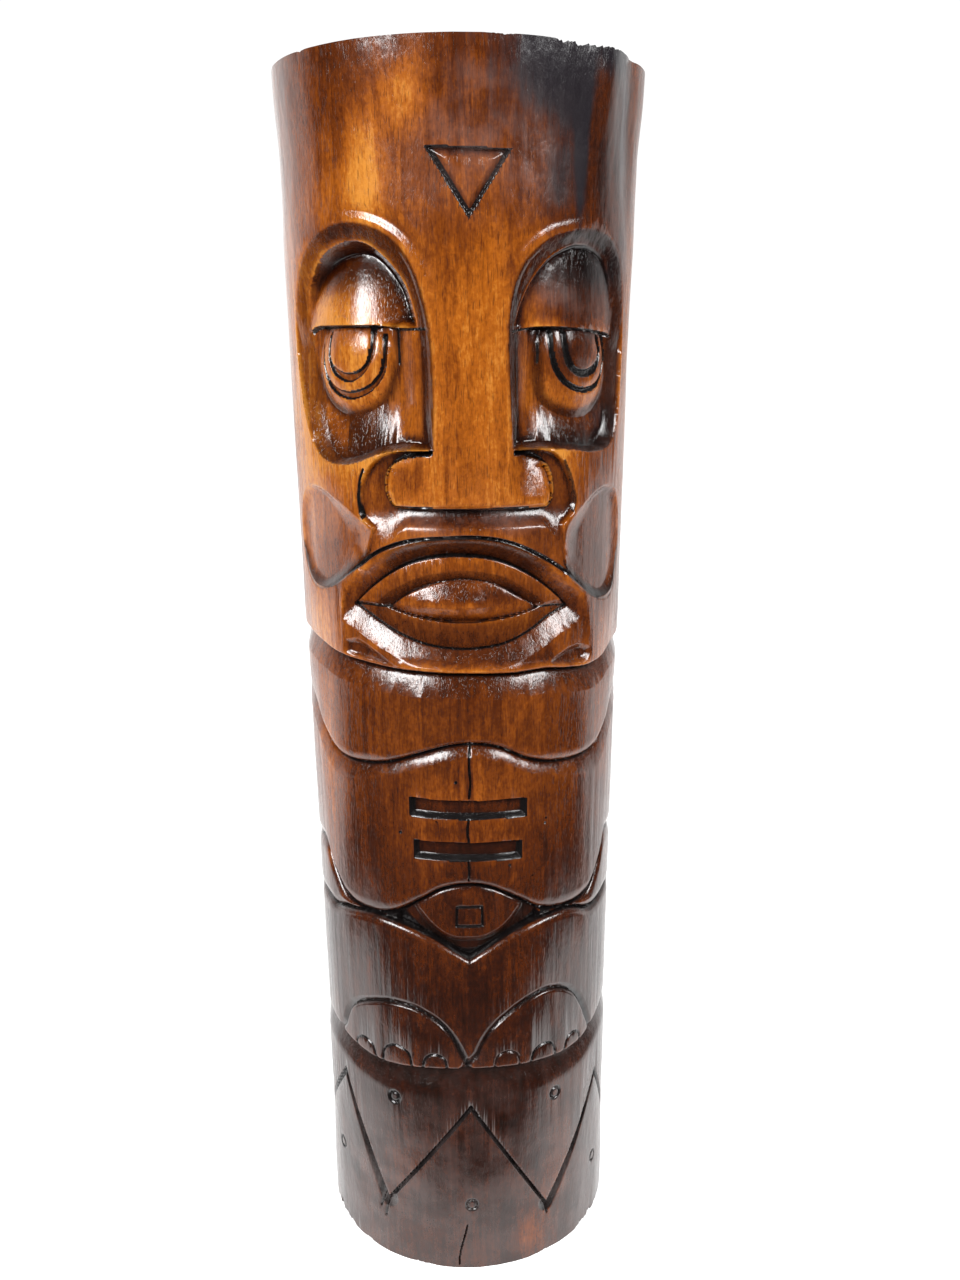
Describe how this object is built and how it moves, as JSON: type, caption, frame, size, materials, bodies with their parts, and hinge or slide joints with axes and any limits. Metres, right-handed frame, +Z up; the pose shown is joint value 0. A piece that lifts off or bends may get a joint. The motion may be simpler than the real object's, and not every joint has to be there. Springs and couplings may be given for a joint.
{
  "type": "carved wooden tiki post",
  "caption": "Upright tiki carving cut from one round log, with a long face, folded body and a zigzag foot band, standing on its flat sawn base.",
  "frame": {"origin": "centre of the flat sawn underside", "axes": "+Z up along the log, the carved face looks towards -Y, +X is on the right of a viewer who faces it"},
  "size_m": [0.1464, 0.1437, 0.5],
  "materials": {
    "varnished_wood": "hand carved hardwood, stained dark in the cuts, glossy clear varnish"
  },
  "bodies": {
    "root": {"tiki_carving": "varnished_wood"}
  },
  "joints": []
}
